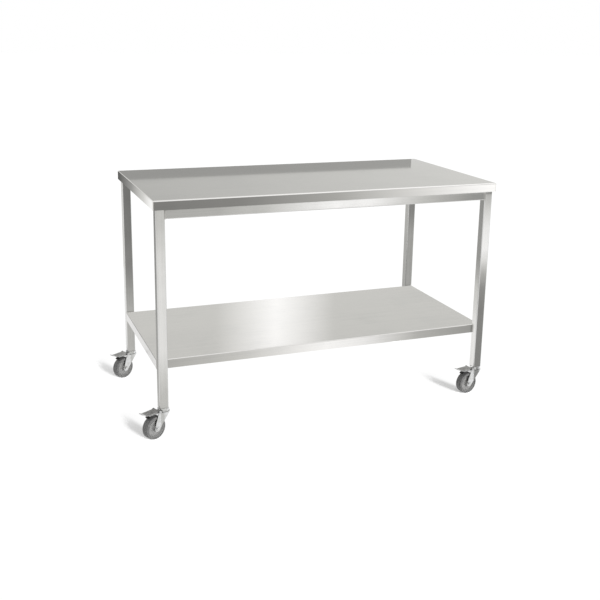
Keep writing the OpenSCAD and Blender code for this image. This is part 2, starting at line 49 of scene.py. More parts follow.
class Wire:  # one socket, so that shader sums read as sums
    def __init__(self, tree, socket):
        self.tree = tree
        self.socket = socket

    def node(self, kind, settings=None, sockets=None, out=0):
        made = self.tree.nodes.new(kind)
        for name, value in (settings or {}).items():
            if name == "stops":
                setStops(made.color_ramp, value)
            else:
                setattr(made, name, value)
        plugIn(self.tree, made, sockets or {})
        return Wire(self.tree, made.outputs[out])

    def sums(self, operation, first, second):
        return self.node("ShaderNodeMath", {"operation": operation}, {0: first, 1: second})

    def __add__(self, other):
        return self.sums("ADD", self, other)

    def __radd__(self, other):
        return self.sums("ADD", other, self)

    def __sub__(self, other):
        return self.sums("SUBTRACT", self, other)

    def __rsub__(self, other):
        return self.sums("SUBTRACT", other, self)

    def __mul__(self, other):
        return self.sums("MULTIPLY", self, other)

    def __rmul__(self, other):
        return self.sums("MULTIPLY", other, self)

    def __truediv__(self, other):
        return self.sums("DIVIDE", self, other)

    def __rtruediv__(self, other):
        return self.sums("DIVIDE", other, self)

    def __pow__(self, other):
        return self.sums("POWER", self, other)

    def __rpow__(self, other):
        return self.sums("POWER", other, self)


def plugIn(tree, node, sockets):  # links wires, and sets plain values on the socket itself
    for name, value in sockets.items():
        if isinstance(value, Wire):
            tree.links.new(value.socket, node.inputs[name])
        else:
            node.inputs[name].default_value = value


def setStops(ramp, stops):
    while len(ramp.elements) < len(stops):
        ramp.elements.new(1.0)
    for element, (place, colour) in zip(ramp.elements, stops):
        element.position = place
        element.color = colour


def opaque(colour):
    return (*colour, 1.0)


def stretch(coords, perMetre):  # texture space with its own scale along X, Y and Z
    return coords.node("ShaderNodeVectorMath", {"operation": "MULTIPLY"}, {0: coords, 1: perMetre})


def noise(coords, scale, detail=2.0, roughness=0.5):
    sockets = {"Vector": coords, "Scale": scale, "Detail": detail, "Roughness": roughness}
    return coords.node("ShaderNodeTexNoise", None, sockets)


def remap(value, low, high, toLow=0.0, toHigh=1.0):  # clamped, with soft ends
    sockets = {"Value": value, "From Min": low, "From Max": high, "To Min": toLow, "To Max": toHigh}
    return value.node("ShaderNodeMapRange", {"interpolation_type": "SMOOTHSTEP"}, sockets)


def mixColour(amount, low, high):  # 0 gives low, 1 gives high
    low, high = (end if isinstance(end, Wire) else opaque(end) for end in (low, high))
    return amount.node("ShaderNodeMix", {"data_type": "RGBA"}, {0: amount, 6: low, 7: high}, 2)


def splitAxes(vector):
    parts = vector.tree.nodes.new("ShaderNodeSeparateXYZ")
    plugIn(vector.tree, parts, {0: vector})
    return [Wire(vector.tree, parts.outputs[i]) for i in range(3)]


def bump(height, strength, distance):
    sockets = {"Height": height, "Strength": strength, "Distance": distance}
    return height.node("ShaderNodeBump", None, sockets)


def startFinish(name):
    material = bpy.data.materials.new(name)
    material.use_nodes = True
    tree = material.node_tree
    shader = tree.nodes["Principled BSDF"]
    coords = Wire(tree, tree.nodes.new("ShaderNodeTexCoord").outputs["Object"])
    return material, shader, coords


# camera, where the photograph was taken from
cameraSettings = {
    "position": (-1.342, -3.449, 1.508),
    "yaw": 21.12,      # degrees to the right of straight ahead
    "pitch": 13.95,    # degrees below level
    "roll": 0.97,      # degrees, anticlockwise
    "lens": 54.56,     # millimetres
    "sensor": 36.0,    # millimetres across
    "shift": -0.0833,  # the picture is cut from below the lens axis
}


def makeCamera(s):
    data = bpy.data.cameras.new("tableCamera")
    data.sensor_width = s["sensor"]
    data.lens = s["lens"]
    data.shift_y = s["shift"]
    camera = bpy.data.objects.new("tableCamera", data)
    turn = (Matrix.Rotation(math.radians(-s["yaw"]), 4, "Z")
            @ Matrix.Rotation(math.radians(90.0 - s["pitch"]), 4, "X")
            @ Matrix.Rotation(math.radians(s["roll"]), 4, "Z"))
    camera.matrix_world = Matrix.Translation(s["position"]) @ turn
    bpy.context.scene.collection.objects.link(camera)
    bpy.context.scene.camera = camera
    bpy.context.scene.view_settings.view_transform = "Standard"


makeCamera(cameraSettings)
print("camera: placed")


# studio: white floor and surround, two soft lamps on one side, and cards that only the metal sees
studioSettings = {
    "floorSize": 80.0,
    "floorRoughness": 0.9,
    "floorColour": (0.92, 0.92, 0.92),
    "bounceColour": (0.55, 0.55, 0.55),  # what the floor gives back to the table
    "floorGlow": 0.95,            # how much of the floor's look is plain white
    "casterGlow": 0.25,           # the same along each caster's shadow
    "shadowHalf": (0.010, 0.040),  # across the shadow, where it starts to fade and where it ends
    "shadowReach": (0.10, 0.34),   # the same along the shadow
    "shadowShift": -0.008,        # from the wheel's foot to the shadow's middle line
    "keyStrength": 2.4,
    "floorStrength": 7.5,         # a lamp for the floor alone, which keeps it white round the shadows
    "keyAzimuth": 19.0,           # degrees to the right of the front
    "keyElevation": 20.0,
    "keyAngle": 17.0,             # degrees across, for soft shadows
    "surroundLow": 0.36,          # light from the left
    "surroundHigh": 1.05,         # light from the right
    "sideSpan": (-0.7, 0.7),      # direction's X between the two
    "ceiling": 1.1,
    "ceilingSpan": (0.45, 0.95),  # direction's Z over which the ceiling comes in
}


def offset(coords, direction, place):  # distance from a place, measured along one direction
    sockets = {0: coords, 1: direction}
    measure = coords.node("ShaderNodeVectorMath", {"operation": "DOT_PRODUCT"}, sockets, 1)
    return measure.sums("ABSOLUTE", measure - place, 0.0)


def makeFloor(s):
    grid = bmesh.new()
    bmesh.ops.create_grid(grid, x_segments=2, y_segments=2, size=s["floorSize"] / 2)
    floor = addObject("studioFloor", grid)
    material, shader, coords = startFinish("studioFloor")
    tree = material.node_tree
    path = tree.nodes.new("ShaderNodeLightPath")
    seen = Wire(tree, path.outputs["Is Camera Ray"])
    mirrored = Wire(tree, path.outputs["Is Glossy Ray"])
    through = Wire(tree, path.outputs["Is Transmission Ray"])
    plugIn(tree, shader, {
        "Base Color": mixColour(seen, s["bounceColour"], s["floorColour"]),
        "Roughness": s["floorRoughness"],
    })
    shader.inputs["Specular IOR Level"].default_value = 0.0
    glow = seen.node("ShaderNodeEmission", None, {"Color": (1, 1, 1, 1), "Strength": 1.0})
    turn = math.radians(s["keyAzimuth"])
    along = Vector((-math.sin(turn), math.cos(turn), 0))
    across = Vector((math.cos(turn), math.sin(turn), 0))
    near = seen * 0.0
    for corner in corners:
        foot = Vector(joints["wheel_" + corner]["pos_m"])
        reach = offset(coords, along, foot.dot(along))
        side = offset(coords, across, foot.dot(across) + s["shadowShift"])
        streak = (1 - remap(reach, *s["shadowReach"])) * (1 - remap(side, *s["shadowHalf"]))
        near = near.sums("MAXIMUM", near, streak)
    loss = seen * near * (s["floorGlow"] - s["casterGlow"])  # only where the camera looks at it
    share = (seen + mirrored + through) * (s["floorGlow"] - loss)
    both = seen.node("ShaderNodeMixShader", None, {0: share, 1: Wire(tree, shader.outputs[0]), 2: glow})
    below = Wire(tree, tree.nodes.new("ShaderNodeNewGeometry").outputs["Backfacing"])
    clear = seen.node("ShaderNodeBsdfTransparent")
    shown = seen.node("ShaderNodeMixShader", None, {0: below, 1: both, 2: clear})  # clear from below
    plugIn(tree, tree.nodes["Material Output"], {"Surface": shown})
    floor.data.materials.append(material)
    return floor


def makeSurround(s):
    world = bpy.data.worlds.new("studioSurround")
    world.use_nodes = True
    bpy.context.scene.world = world
    tree = world.node_tree
    path = tree.nodes.new("ShaderNodeLightPath")
    seen = Wire(tree, path.outputs["Is Camera Ray"])
    through = Wire(tree, path.outputs["Is Transmission Ray"])
    direction = Wire(tree, tree.nodes.new("ShaderNodeTexCoord").outputs["Generated"])
    axes = splitAxes(direction)
    side = remap(axes[alongX], *s["sideSpan"], s["surroundLow"], s["surroundHigh"])
    level = side + remap(axes[alongZ], *s["ceilingSpan"]) * (s["ceiling"] - side)
    studio = seen.node("ShaderNodeBackground", None, {"Strength": level})
    white = seen.node("ShaderNodeBackground", None, {"Color": (1, 1, 1, 1), "Strength": 1.0})
    both = seen.node("ShaderNodeMixShader", None, {0: seen + through, 1: studio, 2: white})
    plugIn(tree, tree.nodes["World Output"], {"Surface": both})


def makeLamp(name, s, strength, blockers):
    lamp = bpy.data.lights.new(name, "SUN")
    lamp.energy = strength
    lamp.angle = math.radians(s["keyAngle"])
    made = bpy.data.objects.new(name, lamp)
    made.visible_glossy = False  # the metal shows the surround and not a bare lamp
    across = math.radians(s["keyAzimuth"])
    above = math.radians(s["keyElevation"])
    flat = math.cos(above)
    towards = Vector((math.sin(across) * flat, -math.cos(across) * flat, math.sin(above)))
    made.rotation_mode = "QUATERNION"
    made.rotation_quaternion = towards.to_track_quat("Z", "Y")
    bpy.context.scene.collection.objects.link(made)
    made.light_linking.blocker_collection = blockers
    return made


def makeLamps(s, floor):
    casters = bpy.data.collections.new("casterShadows")  # the lamps' own shadows are the casters'
    for name, node in frame["nodes"].items():
        if name.startswith(("fork_", "tyre_", "wheel_core_", "swivel_heads")):
            casters.objects.link(node)
    lit = bpy.data.collections.new("litFloor")
    lit.objects.link(floor)
    makeLamp("keyLamp", s, s["keyStrength"], casters)
    makeLamp("floorLamp", s, s["floorStrength"], casters).light_linking.receiver_collection = lit


def addObject(name, mesh):
    data = bpy.data.meshes.new(name)
    mesh.to_mesh(data)
    mesh.free()
    made = bpy.data.objects.new(name, data)
    bpy.context.scene.collection.objects.link(made)
    return made


# flat cards that shine on one side, which faces along an axis: low and high are corners, and level is
# (place, brightness) along the axis named by run
cardSettings = {
    "rearStrip": {
        "low": (-0.698, 0.356, 0.9), "high": (0.684, 0.356, 0.944),
        "faces": (0, -1, 0), "run": alongX,
        "level": [(0, 0.38), (1, 0.42)],
    },
    "topCard": {
        "low": (-0.8, 2.0, 1.17), "high": (2.6, 2.0, 1.7),
        "faces": (0, -1, 0), "run": alongX,
        "level": [(0, 0.55), (0.15, 0.58), (0.9, 0.8), (1, 0.83)],
    },
    "shelfCard": {
        "low": (-0.909, 0.9, 0.33), "high": (1.804, 0.9, 0.9),
        "faces": (0, -1, 0), "run": alongX,
        "level": [(0, 0.805), (0.29, 0.81), (0.36, 1.14), (0.412, 1.39), (0.465, 1.16),
                  (0.535, 0.8), (1, 0.79)],
    },
    "overhead": {
        "low": (-2.2, -3.2, 2.6), "high": (2.2, 0.6, 2.6),
        "faces": (0, 0, -1), "run": alongX,
        "level": [(0, 1.15), (0.5, 1.3), (1, 1.6)],
    },
    "leftBend": {
        "low": (-1.7, 2.0, 0.9), "high": (-0.8, 2.0, 1.6),
        "faces": (0, -1, 0), "run": alongX,
        "level": [(0, 0.95), (1, 0.95)],
    },
    "faceStrip": {
        "low": (-0.712, -0.365, 0.8585), "high": (0.716, -0.365, 0.898),
        "faces": (0, 1, 0), "run": alongX,
        "level": [(0, 0.31), (0.24, 0.36), (0.506, 0.6), (0.771, 1.1), (0.931, 1.45), (1, 1.58)],
    },
    "railStrip": {
        "low": (-0.712, -0.365, 0.8225), "high": (0.716, -0.365, 0.8585),
        "faces": (0, 1, 0), "run": alongX,
        "level": [(0, 0.6), (0.165, 0.64), (0.314, 0.84), (0.506, 1.38), (0.612, 1.32),
                  (0.771, 0.78), (0.931, 0.44), (1, 0.4)],
    },
    "shelfStrip": {
        "low": (-0.655, -0.312, 0.25), "high": (0.655, -0.312, 0.289),
        "faces": (0, 1, 0), "run": alongX,
        "level": [(0, 0.64), (0.2, 0.82), (0.36, 1.16), (0.5, 1.45), (0.62, 1.3), (0.8, 0.7),
                  (1, 0.49)],
    },
    "shelfBend": {
        "low": (-0.655, -0.318, 0.302), "high": (0.655, -0.288, 0.302),
        "faces": (0, 0, -1), "run": alongX,
        "level": [(0, 1.2), (1, 1.2)],
    },
    "leftStrip": {
        "low": (-0.7012, -0.352, 0.8635), "high": (-0.7012, 0.357, 0.8995),
        "faces": (1, 0, 0), "run": alongY,
        "level": [(0, 1.15), (0.0485, 1.26), (0.247, 0.83), (0.57, 0.4), (1, 0.125)],
    },
    "frontLeftFlag": {
        "low": (-0.6915, -0.336, 0.09), "high": (-0.6915, -0.296, 0.862),
        "faces": (1, 0, 0), "run": alongZ,
        "level": [(0, 0.62), (0.3, 0.46), (0.6, 0.38), (1, 0.33)],
    },
    "frontLeftGlow": {
        "low": (-0.69, -0.355, 0.05), "high": (-0.651, -0.355, 0.862),
        "faces": (0, 1, 0), "run": alongZ,
        "level": [(0, 0.68), (0.117, 0.775), (0.216, 0.885), (0.345, 1.09), (0.7, 1.08),
                  (0.778, 1.02), (0.91, 0.87), (1, 0.79)],
    },
    "frontRightFlag": {
        "low": (0.664, -0.355, 0.05), "high": (0.702, -0.355, 0.85),
        "faces": (0, 1, 0), "run": alongZ,
        "level": [(0, 0.33), (0.396, 0.34), (0.505, 0.41), (0.587, 0.66), (0.65, 1.06),
                  (0.7125, 1.31), (0.82, 1.24), (0.915, 0.98), (1, 0.7)],
    },
    "frontRightGlow": {
        "low": (0.645, -0.33, 0.06), "high": (0.645, -0.28, 0.85),
        "faces": (1, 0, 0), "run": alongZ,
        "level": [(0, 1.17), (0.27, 1.17), (0.37, 1.05), (0.49, 0.86), (0.57, 0.62), (0.65, 0.45),
                  (1, 0.4)],
    },
    "rearLeftFlag": {
        "low": (-0.69, 0.295, 0.02), "high": (-0.65, 0.295, 0.862),
        "faces": (0, 1, 0), "run": alongZ,
        "level": [(0, 0.75), (0.33, 0.62), (0.55, 0.36), (0.8, 0.28), (1, 0.26)],
    },
    "rearRightFlag": {
        "low": (0.656, 0.295, 0.29), "high": (0.7, 0.295, 0.82),
        "faces": (0, 1, 0), "run": alongZ,
        "level": [(0, 0.53), (0.45, 0.53), (0.68, 0.35), (1, 0.28)],
    },
    "rearRightSide": {
        "low": (0.65, 0.308, 0.26), "high": (0.65, 0.356, 0.86),
        "faces": (1, 0, 0), "run": alongZ,
        "level": [(0, 0.58), (1, 0.65)],
    },
}
cardTint = {
    "share": 0.03,  # of blue, lost where a card is dim
    "full": 0.8,    # brightness up to which all of it is lost
    "none": 1.3,    # brightness from which none is lost
}


def cardColour(bright, s):
    dim = min(1.0, max(0.0, (s["none"] - bright) / (s["none"] - s["full"])))
    return opaque((bright, bright, bright * (1 - s["share"] * dim)))


def makeCard(name, s):
    low = Vector(s["low"])
    high = Vector(s["high"])
    run = s["run"]
    mesh = bmesh.new()
    across, up = [axis for axis in range(3) if low[axis] != high[axis]]
    places = [low.copy() for corner in range(4)]
    for place, (right, top) in zip(places, ((0, 0), (1, 0), (1, 1), (0, 1))):
        place[across] = high[across] if right else low[across]
        place[up] = high[up] if top else low[up]
    face = mesh.faces.new([mesh.verts.new(place) for place in places])
    face.normal_update()
    if face.normal.dot(Vector(s["faces"])) < 0:
        face.normal_flip()
    card = addObject(name, mesh)
    material = bpy.data.materials.new(name)
    material.use_nodes = True
    tree = material.node_tree
    coords = Wire(tree, tree.nodes.new("ShaderNodeTexCoord").outputs["Object"])
    share = (splitAxes(coords)[run] - low[run]) / (high[run] - low[run])
    stops = [(at, cardColour(bright, cardTint)) for at, bright in s["level"]]
    level = share.node("ShaderNodeValToRGB", {"stops": stops}, {0: share})
    light = level.node("ShaderNodeEmission", None, {"Color": level, "Strength": 1.0})
    behind = Wire(tree, tree.nodes.new("ShaderNodeNewGeometry").outputs["Backfacing"])
    clear = level.node("ShaderNodeBsdfTransparent")
    shown = level.node("ShaderNodeMixShader", None, {0: behind, 1: light, 2: clear})
    plugIn(tree, tree.nodes["Material Output"], {"Surface": shown})
    card.data.materials.append(material)
    card.visible_camera = False
    card.visible_diffuse = False
    card.visible_shadow = False
    card.visible_transmission = False


makeSurround(studioSettings)
makeLamps(studioSettings, makeFloor(studioSettings))
for cardName, card in cardSettings.items():
    makeCard(cardName, card)
print("studio: floor, surround, lamps and", len(cardSettings), "cards")


# finishes of the stainless sheet and tube
worktopFinish = {
    "colour": (0.66, 0.65, 0.635),
    "worn": (0.60, 0.595, 0.585),
    "ground": (0.63, 0.62, 0.60),   # where a weld was ground flush
    "roughness": (0.07, 0.12),      # where wiped bright, where dulled
    "groundRoughness": 0.13,        # added on a ground weld
    "streakLength": 0.25,
    "streakWidth": 0.0012,
    "smudgeSize": 0.22,
    "grooveDepth": 0.00002,
}
shelfFinish = dict(worktopFinish, roughness=(0.13, 0.18), smudgeSize=0.3)
frameFinish = dict(worktopFinish, colour=(0.68, 0.675, 0.665), roughness=(0.18, 0.26), smudgeSize=0.12)
brushing = {
    "wide": 0.12,                 # scale of the broad bands against the streaks
    "smudge": (0.42, 0.72),
    "swirl": 900.0,               # per metre, left by the grinding disc
    "shares": (0.5, 0.35, 0.15),  # of streak, broad band and smudge in the tone
    "tone": (0.35, 0.7),
    "dull": (0.4, 0.6),           # shares of smudge and streak in the roughness
    "patchy": 0.5,                # how far the swirl breaks up a ground place
    "bump": 0.25,
}
groundZones = {  # where welds were ground, as distances from the middle and how far each zone reaches
    "worktop": {"x": 0.700, "y": 0.350, "reach": (0.006, 0.014)},
    "shelf": {"x": 0.690, "y": 0.305, "reach": (0.004, 0.010)},
    "frame": {"x": 0.655, "y": 0.305, "reach": (0.003, 0.007), "longFrom": (0.824, 0.832),
              "sideFrom": (0.839, 0.847)},
}


def away(value, place):  # distance from a place, on both sides of the table
    size = value.sums("ABSOLUTE", value, 0.0)
    return size.sums("ABSOLUTE", size - place, 0.0)


def nearPlace(value, place, reach):
    return 1 - remap(away(value, place), *reach)


def cornerGround(coords, zone):  # the four upright corners of a folded sheet
    x, y = splitAxes(coords)[:2]
    return nearPlace(x, zone["x"], zone["reach"]) * nearPlace(y, zone["y"], zone["reach"])


def frameGround(coords, zone):  # the joints of rails and legs
    x, y, z = splitAxes(coords)
    longJoint = nearPlace(x, zone["x"], zone["reach"]) * remap(z, *zone["longFrom"])
    sideJoint = nearPlace(y, zone["y"], zone["reach"]) * remap(z, *zone["sideFrom"])
    return longJoint.sums("MAXIMUM", longJoint, sideJoint)


def brushedSteel(name, s, grain, zone):  # grain is the axis the brushing runs along
    material, shader, coords = startFinish(name)
    perMetre = [1.0 / s["streakWidth"]] * 3
    perMetre[grain] = 1.0 / s["streakLength"]
    streak = noise(stretch(coords, perMetre), 1.0, detail=3.0, roughness=0.6)
    wide = noise(stretch(coords, [p * brushing["wide"] for p in perMetre]), 1.0)
    smear = noise(coords, 1.0 / s["smudgeSize"], detail=5.0, roughness=0.62)
    smudge = remap(smear, *brushing["smudge"])
    swirl = noise(coords, brushing["swirl"], roughness=0.6)
    findGround = frameGround if zone == "frame" else cornerGround
    ground = findGround(coords, groundZones[zone])
    streakShare, wideShare, smudgeShare = brushing["shares"]
    tone = streak * streakShare + wide * wideShare + smudge * smudgeShare
    steel = mixColour(remap(tone, *brushing["tone"]), s["colour"], s["worn"])
    low, high = s["roughness"]
    smudgeDull, streakDull = brushing["dull"]
    dull = low + (high - low) * (smudge * smudgeDull + streak * streakDull)
    shown = (1 - brushing["patchy"]) + brushing["patchy"] * swirl
    grooves = streak * (1 - ground) + swirl * ground
    plugIn(material.node_tree, shader, {
        "Base Color": mixColour(ground * shown, steel, s["ground"]),
        "Metallic": 1.0,
        "Roughness": dull + ground * s["groundRoughness"],
        "Normal": bump(grooves, brushing["bump"], s["grooveDepth"]),
    })
    return material


# finishes of the inner sheet, the plated pressings and the fasteners
innerFinish = {
    "colour": (0.50, 0.50, 0.49), "dull": (0.40, 0.40, 0.39),
    "roughness": (0.36, 0.52), "grain": 45.0,
}
platedFinish = {
    "colour": (0.74, 0.745, 0.75), "dull": (0.62, 0.62, 0.60),
    "roughness": (0.17, 0.33), "grain": 90.0,
}
weldFinish = {
    "colour": (0.62, 0.60, 0.57), "dull": (0.50, 0.47, 0.42),
    "roughness": (0.24, 0.40), "grain": 220.0,
}
fastenerFinish = {
    "colour": (0.60, 0.60, 0.60), "dull": (0.46, 0.455, 0.44),
    "roughness": (0.26, 0.42), "grain": 160.0,
}
plating = {
    "blotch": (0.38, 0.68),
    "peel": 14.0,           # how much finer the orange peel is than the blotches
    "shares": (0.7, 0.3),   # of blotch and peel in the roughness
    "bump": (0.12, 0.00004),
}


def platedSteel(name, s):  # blotched plating with a fine orange peel
    material, shader, coords = startFinish(name)
    blotch = remap(noise(coords, s["grain"], detail=4.0, roughness=0.55), *plating["blotch"])
    peel = noise(coords, s["grain"] * plating["peel"])
    low, high = s["roughness"]
    blotchShare, peelShare = plating["shares"]
    plugIn(material.node_tree, shader, {
        "Base Color": mixColour(blotch, s["colour"], s["dull"]),
        "Metallic": 1.0,
        "Roughness": low + (high - low) * (blotch * blotchShare + peel * peelShare),
        "Normal": bump(peel, *plating["bump"]),
    })
    return material


# trodden pedals: the tread is coloured dark as painted shade, with scuffs on it, and the raised lip is
# worn and coloured bright as a painted highlight
pedalFinish = {
    # colour and dull are dark as painted shade on the tread; worn is the lip's painted highlight, which
    # is also its wear
    "colour": (0.42, 0.42, 0.415),
    "dull": (0.27, 0.268, 0.26),
    "worn": (0.80, 0.80, 0.795),
    "roughness": (0.24, 0.40),
    "grain": 120.0,
    "blotch": (0.36, 0.66),
    "scuff": (300.0, 300.0, 900.0),  # per metre
    "scuffLift": 0.001,              # how far scuffs fray the edge of the worn, painted highlight
    "shares": (0.6, 0.4),            # of blotch and scuff in the roughness
    "shine": 0.6,                    # roughness that wear takes away
    "lip": (0.1096, 0.1128),         # height over which the wear and the painted highlight come in
    "bump": (0.15, 0.00005),
}


def shadedTroddenSteel(name, s):
    material, shader, coords = startFinish(name)
    blotch = remap(noise(coords, s["grain"], detail=4.0, roughness=0.6), *s["blotch"])
    scuff = noise(stretch(coords, s["scuff"]), 1.0, detail=3.0, roughness=0.6)
    # painted highlight and wear: the pedal turns bright above the lip's height
    lipHighlightAndWear = remap(splitAxes(coords)[alongZ] + scuff * s["scuffLift"], *s["lip"])
    low, high = s["roughness"]
    blotchShare, scuffShare = s["shares"]
    rough = (high - low) * (blotch * blotchShare + scuff * scuffShare)
    plugIn(material.node_tree, shader, {
        "Base Color": mixColour(lipHighlightAndWear, mixColour(blotch, s["colour"], s["dull"]), s["worn"]),
        "Metallic": 1.0,
        "Roughness": low + rough * (1 - lipHighlightAndWear * s["shine"]),
        "Normal": bump(scuff, *s["bump"]),
    })
    return material


# finishes of the wheels
plasticFinish = {
    "colour": (0.232, 0.232, 0.229), "dusty": (0.30, 0.296, 0.286),
    "roughness": 0.46, "grain": 130.0,
}
tyreFinish = {
    "colour": (0.132, 0.132, 0.132), "dusty": (0.21, 0.207, 0.20),
    "roughness": 0.66, "grain": 110.0,
}
shoeFinish = {
    "colour": (0.022, 0.022, 0.022), "dusty": (0.05, 0.05, 0.048),
    "roughness": 0.6, "grain": 140.0,
}
moulding = {
    "dust": (0.40, 0.75),
    "dustRoughness": 0.16,
    "pores": 16.0,          # how much finer the pores are than the dust
    "poreRoughness": 0.06,
    "bump": (0.35, 0.00012),
}


def mouldedFinish(name, s):  # fine mould grain under a little dust
    material, shader, coords = startFinish(name)
    dust = remap(noise(coords, s["grain"], detail=6.0, roughness=0.65), *moulding["dust"])
    pores = noise(coords, s["grain"] * moulding["pores"], detail=3.0, roughness=0.6)
    added = dust * moulding["dustRoughness"] + pores * moulding["poreRoughness"]
    plugIn(material.node_tree, shader, {
        "Base Color": mixColour(dust, s["colour"], s["dusty"]),
        "Roughness": s["roughness"] + added,
        "Normal": bump(pores, *moulding["bump"]),
    })
    return material


finishes = {
    "worktop_steel": brushedSteel("worktopSteel", worktopFinish, alongX, "worktop"),
    "shelf_steel": brushedSteel("shelfSteel", shelfFinish, alongX, "shelf"),
    "inner_steel": platedSteel("millSteel", innerFinish),
    "plated_steel": platedSteel("zincPlate", platedFinish),
    "fastener_steel": platedSteel("boltSteel", fastenerFinish),
    "wheel_plastic": mouldedFinish("wheelPlastic", plasticFinish),
    "tyre_rubber": mouldedFinish("tyreRubber", tyreFinish),
    "brake_rubber": mouldedFinish("brakeRubber", shoeFinish),
}
pieceFinishes = {
    "front_rail": brushedSteel("longRailSteel", frameFinish, alongX, "frame"),
    "left_rail": brushedSteel("sideRailSteel", frameFinish, alongY, "frame"),
    "leg": brushedSteel("legSteel", frameFinish, alongZ, "frame"),
    "brake_pedal": shadedTroddenSteel("shadedTreadSteel", pedalFinish),
    "axle_bolt": finishes["plated_steel"],
    "axle_nut": finishes["plated_steel"],
}
pieceFinishes["rear_rail"] = pieceFinishes["front_rail"]
pieceFinishes["right_rail"] = pieceFinishes["left_rail"]


def kindOf(name):  # a piece's name without its corner
    for corner in corners:
        name = name.removesuffix("_" + corner)
    return name


def dressNodes():
    for name, node in frame["nodes"].items():
        slot = node.material_slots[0].material.name.split(".")[0]
        finish = pieceFinishes.get(kindOf(name)) or finishes[slot]
        for place in node.material_slots:
            place.material = finish
    for corner in corners:
        frame["nodes"]["leg_" + corner].visible_glossy = False  # a satin shelf mirrors no leg


dressNodes()
print("finishes:", len(finishes) + len(pieceFinishes))


def joinRings(mesh, rings, closed=False):  # skin between rings; a ring of one point is a tip
    for near, far in zip(rings, rings[1:] + (rings[:1] if closed else [])):
        count = max(len(near), len(far))
        for i in range(count):
            j = (i + 1) % count
            quad = [near[i % len(near)], near[j % len(near)]]
            quad += [far[j % len(far)], far[i % len(far)]]
            mesh.faces.new(list(dict.fromkeys(quad)))


def ring(mesh, centre, radius, right, up, sides):
    turns = [2 * math.pi * k / sides for k in range(sides)] if radius else [0.0]
    spokes = [right * math.cos(a) + up * math.sin(a) for a in turns]
    return [mesh.verts.new(centre + radius * spoke) for spoke in spokes]


def sweep(mesh, path, radii, across, sides):  # round bar along a flat path that across is square to
    rings = []
    for i, place in enumerate(path):
        along = (path[min(i + 1, len(path) - 1)] - path[max(i - 1, 0)]).normalized()
        rings.append(ring(mesh, place, radii[i], across, along.cross(across), sides))
    joinRings(mesh, rings)
    mesh.faces.new(rings[0])
    mesh.faces.new(rings[-1])


def lathe(mesh, centre, axis, profile, sides, closed=False):  # profile is (radius, height) pairs
    side = axis.orthogonal().normalized()
    fore = axis.cross(side)
    rings = [ring(mesh, centre + axis * height, radius, side, fore, sides)
             for radius, height in profile]
    joinRings(mesh, rings, closed)


def roundRing(radius, height, thick, steps=10):  # section of a thin round ring
    turns = [2 * math.pi * k / steps for k in range(steps)]
    return [(radius + thick * math.cos(a), height + thick * math.sin(a)) for a in turns]


def addPiece(name, mesh, body, finish):
    bmesh.ops.recalc_face_normals(mesh, faces=mesh.faces[:])
    for face in mesh.faces:
        face.smooth = True
    piece = addObject(name, mesh)
    piece.data.materials.append(finish)
    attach(piece, body)


# weld beads in the corners where the rails meet the legs
weldBeads = {
    "radius": 0.0019,
    "ripple": 0.0021,  # length of one ripple
    "step": 0.0005,
    "corner": 0.004,
    "trim": 0.003,     # kept off the tube's round edges
    "valley": 0.80,    # size between two ripples
    "end": 0.5,        # size at both ends
    "bendSteps": 8,
    "sides": 10,
}


def evenPath(points, corner, step, bendSteps):  # even steps along straight runs with round corners
    bends = [points[0]]
    for before, at, after in zip(points, points[1:], points[2:]):
        enter = at + (before - at).normalized() * corner
        leave = at + (after - at).normalized() * corner
        shares = [k / bendSteps for k in range(bendSteps + 1)]
        bends += [enter.lerp(at, share).lerp(at.lerp(leave, share), share) for share in shares]
    bends.append(points[-1])
    path = []
    for start, stop in zip(bends, bends[1:]):
        count = max(1, round((stop - start).length / step))
        path += [start.lerp(stop, i / count) for i in range(count)]
    return path + [bends[-1]]


def makeWeldBeads(s):
    mesh = bmesh.new()
    runs = []
    for rail in ("front_rail", "rear_rail"):
        low, high = (Vector(corner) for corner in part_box(rail))
        for x in (low.x, high.x):
            ends = [Vector((x, y, low.z)) for y in (low.y + s["trim"], high.y - s["trim"])]
            runs.append((ends, Vector((1, 0, 0))))
    for rail in ("left_rail", "right_rail"):
        low, high = (Vector(corner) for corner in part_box(rail))
        inner, outer = (high.x, low.x) if rail == "left_rail" else (low.x, high.x)
        start = inner + math.copysign(s["trim"], outer - inner)
        for y in (low.y, high.y):
            turns = [(start, low.z), (outer, low.z), (outer, high.z - s["trim"])]
            runs.append(([Vector((x, y, z)) for x, z in turns], Vector((0, 1, 0))))
    for points, across in runs:
        path = evenPath(points, s["corner"], s["step"], s["bendSteps"])
        waves = [abs(math.sin(math.pi * i * s["step"] / s["ripple"])) for i in range(len(path))]
        radii = [s["radius"] * (s["valley"] + (1 - s["valley"]) * wave) for wave in waves]
        radii[0] = radii[-1] = s["radius"] * s["end"]
        sweep(mesh, path, radii, across, s["sides"])
    addPiece("weldBeads", mesh, "table", platedSteel("weldSteel", weldFinish))
    return len(runs)


# spot welds along the stiffeners' brims
spotWelds = {
    "pitch": 0.075,
    "radius": 0.0034,
    "rise": 0.0003,
    "sink": 0.0001,         # the rim lies this deep in the sheet, and the middle stands as proud
    "crest": 0.8,           # share of the radius where a spot is highest
    "dimple": (0.45, 0.3),  # shares of radius and rise
    "sides": 16,
    "edge": 0.009,          # from the brim's outer edge
    "brim": 0.0012,         # thickness of the brim
    "stiffeners": {
        "top_stiffener_1": alongY, "top_stiffener_2": alongY, "top_stiffener_3": alongY,
        "shelf_stiffener": alongX,
    },
}


